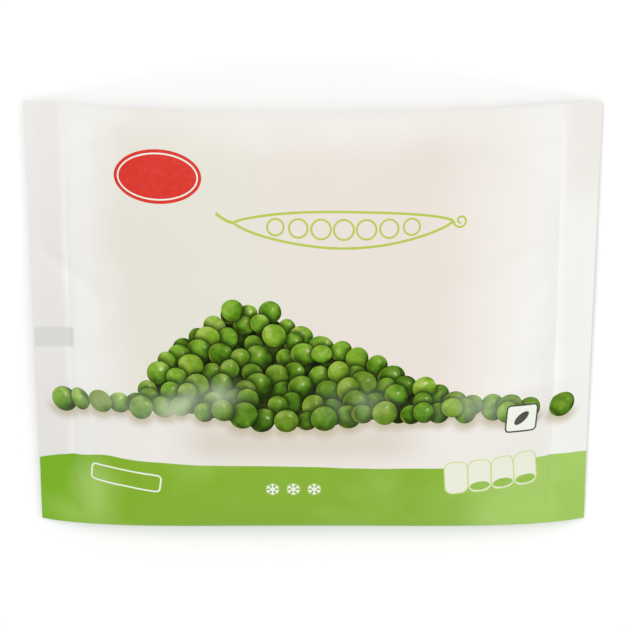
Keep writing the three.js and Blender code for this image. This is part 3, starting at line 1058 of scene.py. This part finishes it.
def heapTree(ink):
    kinds = {name: "Int" if name in ("Columns", "Rows", "Seed") else "Float" for name in heap}
    tree, given, out = geometryTree("heapLayout", kinds)
    pick = given.outputs
    sets = put(tree, "GeometryNodeJoinGeometry")
    for points in (peaRows(tree, pick, 1), peaRows(tree, pick, 0), peaEdge(tree, pick)):
        tree.links.new(points, sets.inputs[0])
    circle = {"Vertices": 24, "Radius": 1.0}
    disc = get(tree, "GeometryNodeMeshCircle", circle, fill_type="NGON")
    disc = note(disc, "ball", position(tree), "FLOAT_VECTOR")
    turn, grow, longer = (draw(pick, name) for name in ("turn", "grow", "longer"))
    nearer = plus(0.9, times(noted(tree, "lower"), 0.17))
    radius = times(pick["Pea Radius"], grow, nearer)
    size = vector(tree, times(radius, longer), radius, 1.0)
    points = note(sets.outputs[0], "turn", turn)
    inputs = {"Points": points, "Instance": disc, "Rotation": vector(tree, z=turn), "Scale": size}
    placed = get(tree, "GeometryNodeInstanceOnPoints", inputs)
    peas = get(tree, "GeometryNodeRealizeInstances", {"Geometry": placed})
    ball = {"Vector": noted(tree, "ball", "FLOAT_VECTOR"), "Angle": noted(tree, "turn")}
    facing = get(tree, "ShaderNodeVectorRotate", ball, rotation_type="Z_AXIS")
    peas = note(peas, "ball", facing, "FLOAT_VECTOR")
    inked = get(tree, "GeometryNodeSetMaterial", {"Geometry": peas, "Material": ink})
    tree.links.new(inked, out.inputs[0])
    return tree


def heapShapes(ink):
    layout = newObject("heapLayout", bpy.data.meshes.new("heapLayout"))
    runTree(layout, heapTree(ink), heap)
    mesh = layout.data
    count = len(mesh.vertices)
    spots, balls = np.zeros(count * 3), np.zeros(count * 3)
    mesh.vertices.foreach_get("co", spots)
    mesh.attributes["ball"].data.foreach_get("vector", balls)
    spots, balls = spots.reshape(-1, 3)[:, :2] / mm, balls.reshape(-1, 3)[:, :2]
    facts = {name: mesh.attributes[name].data for name in ("tint", "depth", "layer", "lower", "buried")}
    shapes = []
    for face in mesh.polygons:
        at = list(face.vertices)
        centre = spots[at].mean(axis=0)
        lens = np.linalg.lstsq(spots[at] - centre, balls[at], rcond=None)[0]
        own = {name: values[at[0]].value for name, values in facts.items()}
        shapes.append({"outline": spots[at], "ink": "peas", "centre": centre, "lens": lens, **own})
    bpy.data.objects.remove(layout)
    for x, y, radius, layer, tint in singlePeas:
        low = float(y * mm < heap["Base"])
        own = {"layer": layer, "tint": tint, "depth": 0.0, "buried": 0.0, "lower": low}
        ring, lens = ellipse(x, y, 2 * radius, 2 * radius, 24), np.eye(2) / radius
        shapes.append({"outline": ring, "ink": "peas", "centre": np.array([x, y]), "lens": lens, **own})
    return shapes


def heapGround():  # the dark behind the peas
    t = np.linspace(darkBehind["from"], darkBehind["to"], darkBehind["points"])
    height = np.interp(t, *zip(*heapOutline)) * heap["Height"]
    foot = heap["Foot"] + heap["Foot Rise"] * np.interp(t, *zip(*heapFoot))
    x = heap["Left"] + t * heap["Length"]
    top = np.maximum(foot, heap["Base"] + height - darkBehind["drop"] * heap["Pea Radius"])
    loop = np.concatenate([np.stack([x, foot - darkBehind["below"]], 1), np.stack([x, top], 1)[::-1]])
    return inkShapes([loop / mm], "gap", -30)


# Plain motifs

label = {"x": -61, "y": 62, "across": 35, "up": 21, "inset": 3.2, "line": 0.6}


def labelShapes():
    outer, inner = (
        ellipse(label["x"], label["y"], label["across"] - inset, label["up"] - inset, 72)
        for inset in (0, label["inset"])
    )
    return inkShapes([outer], "red", 1) + inkShapes(ribbon(inner, label["line"], closed=True), "white", 2)


pod = {
    "x": 12, "y": 43, "half": 43, "up": 6.6, "down": 7.6, "bend": 2.2, "line": 1.0,
    "peas": 7, "peaLine": 0.8, "peaAcross": 7.8, "peaReach": 0.62, "peaDrop": 0.4,
    "stem": (7, 3.5), "stemLine": 1.2, "curl": 2.9, "curlLine": 0.8,
}


def podShapes():
    def along(t):  # the pod's middle line, from -1 to 1
        return pod["x"] + pod["half"] * t, pod["y"] + pod["bend"] * t * t

    t = np.linspace(-1, 1, 90)
    x, y = along(t)
    shapes = []
    for side in (pod["up"], -pod["down"]):
        edge = np.stack([x, y + side * (1 - t * t) ** 0.75], 1)
        shapes += ribbon(evenly(edge, 1.0), pod["line"])
    for k in range(pod["peas"]):
        t = pod["peaReach"] * (2 * k / (pod["peas"] - 1) - 1)
        across = pod["peaAcross"] * (1 - t * t) ** 0.4
        x, y = along(t)
        shapes += ribbon(ellipse(x, y - pod["peaDrop"], across, across, 32), pod["peaLine"], closed=True)
    (x, y), (out, up), a = along(-1), pod["stem"], np.linspace(0, 1, 12)
    shapes += ribbon(np.stack([x - out * a, y + up * a ** 1.6], 1), pod["stemLine"])
    (x, y), curl = along(1), np.linspace(0, 2.6 * math.pi, 36)
    size = pod["curl"] * (1 - curl / (3.4 * math.pi))
    right, high = size * np.cos(curl + math.pi), size * np.sin(curl + math.pi)
    shapes += ribbon(np.stack([x + pod["curl"] + right, y + high], 1), pod["curlLine"])
    return inkShapes(shapes, "line", 1)


flakes = {
    "x": -8, "y": -67, "gap": 8.5, "reach": 2.8, "line": 0.6,
    "twigAt": 0.55, "twig": 0.95, "twigLine": 0.45,
}


def flakeShapes():
    shapes = []
    for k in (-1, 0, 1):
        centre = np.array([flakes["x"] + k * flakes["gap"], flakes["y"]])
        for angle in range(30, 390, 60):
            angle = math.radians(angle)
            way = np.array([math.cos(angle), math.sin(angle)])
            side = np.array([-way[1], way[0]])
            arm = way * flakes["reach"]
            shapes += ribbon([centre, centre + arm / 2, centre + arm], flakes["line"])
            fork = centre + arm * flakes["twigAt"]
            for twig in (way - side, way + side):
                line = [fork, fork + 0.5 * twig, fork + flakes["twig"] * twig]
                shapes += ribbon(line, flakes["twigLine"])
    return inkShapes(shapes, "white", 1)


box = {"x": -77, "y": -64, "across": 29, "up": 7.5, "turn": -8, "radius": 1.6, "line": 0.7}


def boxShapes():
    loop = roundedBox(box, box["x"], box["y"])
    return inkShapes(ribbon(loop, box["line"], closed=True), "white", 1)


tile = {
    "x": 85.2, "y": -38.2, "across": 13.2, "up": 11.4, "radius": 1.5, "turn": -3, "line": 0.7,
    "leafAcross": 7.5, "leafUp": 3.6, "leafTurn": 40,
}


def tileShapes():
    loop = roundedBox(tile, tile["x"], tile["y"])
    leaf = ellipse(tile["x"], tile["y"], tile["leafAcross"], tile["leafUp"], 32, tile["leafTurn"])
    frame = ribbon(loop, tile["line"], closed=True)
    return inkShapes([loop], "white", 60) + inkShapes([*frame, leaf], "grey", 61)


tabs = {
    "x": 58.5, "y": -62.4, "gap": 9.7, "rise": 0.5, "across": 9.5, "up": 14.5, "radius": 3.2, "line": 0.5,
    "turn": 4, "lensAcross": 8.4, "lensUp": 4.0, "lensRight": 0.3, "lensDown": 4.6,
}


def tabShapes():
    shapes = []
    for k in range(4):
        x, y = tabs["x"] + k * tabs["gap"], tabs["y"] + k * tabs["rise"]
        loop = roundedBox(tabs, x, y)
        shapes += inkShapes([loop], "pale", 1)
        if k > 0:
            x, y = x + tabs["lensRight"], y - tabs["lensDown"]
            lens = ellipse(x, y, tabs["lensAcross"], tabs["lensUp"], 24, tabs["turn"])
            shapes += inkShapes([lens], "band", 2)
        shapes += inkShapes(ribbon(loop, tabs["line"], closed=True), "thin", 3)
    return shapes


# What is made

plainInks = {  # colour, and how much its grain shows
    "white": (paint(240, 244, 232), 0.06),
    "red": (paint(218, 46, 32), 0.02),
    "line": (paint(184, 200, 80), 0.06),
    "thin": (paint(206, 220, 150), 0.06),
    "grey": (paint(78, 76, 68), 0.03),
    "pale": (paint(234, 236, 218), 0.06),
    "band": (paint(150, 192, 76), 0.06),
}
inks = {"film": filmMaterial(), "peas": peaMaterial(), "gap": gapMaterial()}
for name, (colour, grain) in plainInks.items():
    inks[name] = inkMaterial(name + "Ink", colour, grain)
printShapes = heapGround() + heapShapes(inks["peas"]) + labelShapes() + podShapes()
printShapes += flakeShapes() + boxShapes() + tileShapes() + tabShapes()
print("print drawn:", len(printShapes), "shapes")
film = newObject("film_pouch_skin", filmMesh("film_pouch_skin", printShapes, inks))
runTree(film, peaLumpTree(inks["film"]), peaLumps)
steadyNormals(film.data)
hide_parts("film_pouch")
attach(film, "root")
print("film made:", len(film.data.polygons), "faces")


# Floor, light and camera

ground = {
    "half": 3.0, "dim": (0.96, 0.96, 0.96, 1), "light": (0.98, 0.98, 0.98, 1),
    "roughness": 0.9, "gloss": 0.1,
}


def floorMaterial():
    made, tree = newMaterial("paleFloor")
    shader = tree.nodes["Principled BSDF"]
    colour = mixColour(noise(objectPlace(tree), *grains["floor"]), ground["dim"], ground["light"])
    tree.links.new(colour, shader.inputs["Base Color"])
    shader.inputs["Roughness"].default_value = ground["roughness"]
    shader.inputs["Specular IOR Level"].default_value = ground["gloss"]
    return made


floorMesh = bpy.data.meshes.new("floor")
reach = ground["half"]
floorCorners = [(-reach, -reach, 0), (reach, -reach, 0), (reach, reach, 0), (-reach, reach, 0)]
floorMesh.from_pydata(floorCorners, [], [[0, 1, 2, 3]])
floor = newObject("floor", floorMesh)
floor.data.materials.append(floorMaterial())


def addLight(name, place, across, power):  # it faces the pouch
    lamp = bpy.data.lights.new(name, "AREA")
    lamp.shape = "DISK"
    lamp.size = across
    lamp.energy = power
    made = newObject(name, lamp)
    made.location = place
    made.rotation_euler = (-Vector(place)).to_track_quat("-Z", "Y").to_euler()


addLight("keyLight", (-0.5, 0.75, 1.55), 1.3, 14.6)
addLight("sideLight", (1.3, 0.1, 0.9), 1.0, 5.4)
addLight("lowLight", (0.1, -1.3, 1.0), 1.0, 5.1)
world = bpy.context.scene.world or bpy.data.worlds.new("studio")
bpy.context.scene.world = world
world.use_nodes = True
backdrop = world.node_tree.nodes["Background"].inputs
backdrop["Color"].default_value = (1, 1, 1, 1)
backdrop["Strength"].default_value = studio["world"]
bpy.context.scene.view_settings.view_transform = "Standard"

view = {"distance": 0.7, "pitch": 16.0, "lens": 99.3, "sensor": 36.0, "target": (0, 3.8 * mm, 10 * mm)}
cameraData = bpy.data.cameras.new("camera")
cameraData.lens = view["lens"]
cameraData.sensor_width = view["sensor"]
camera = newObject("camera", cameraData)
pitch = math.radians(view["pitch"])
away = Vector((0, math.sin(pitch), math.cos(pitch)))
camera.location = Vector(view["target"]) + view["distance"] * away
camera.rotation_euler = Euler((-pitch, 0, 0))
bpy.context.scene.camera = camera
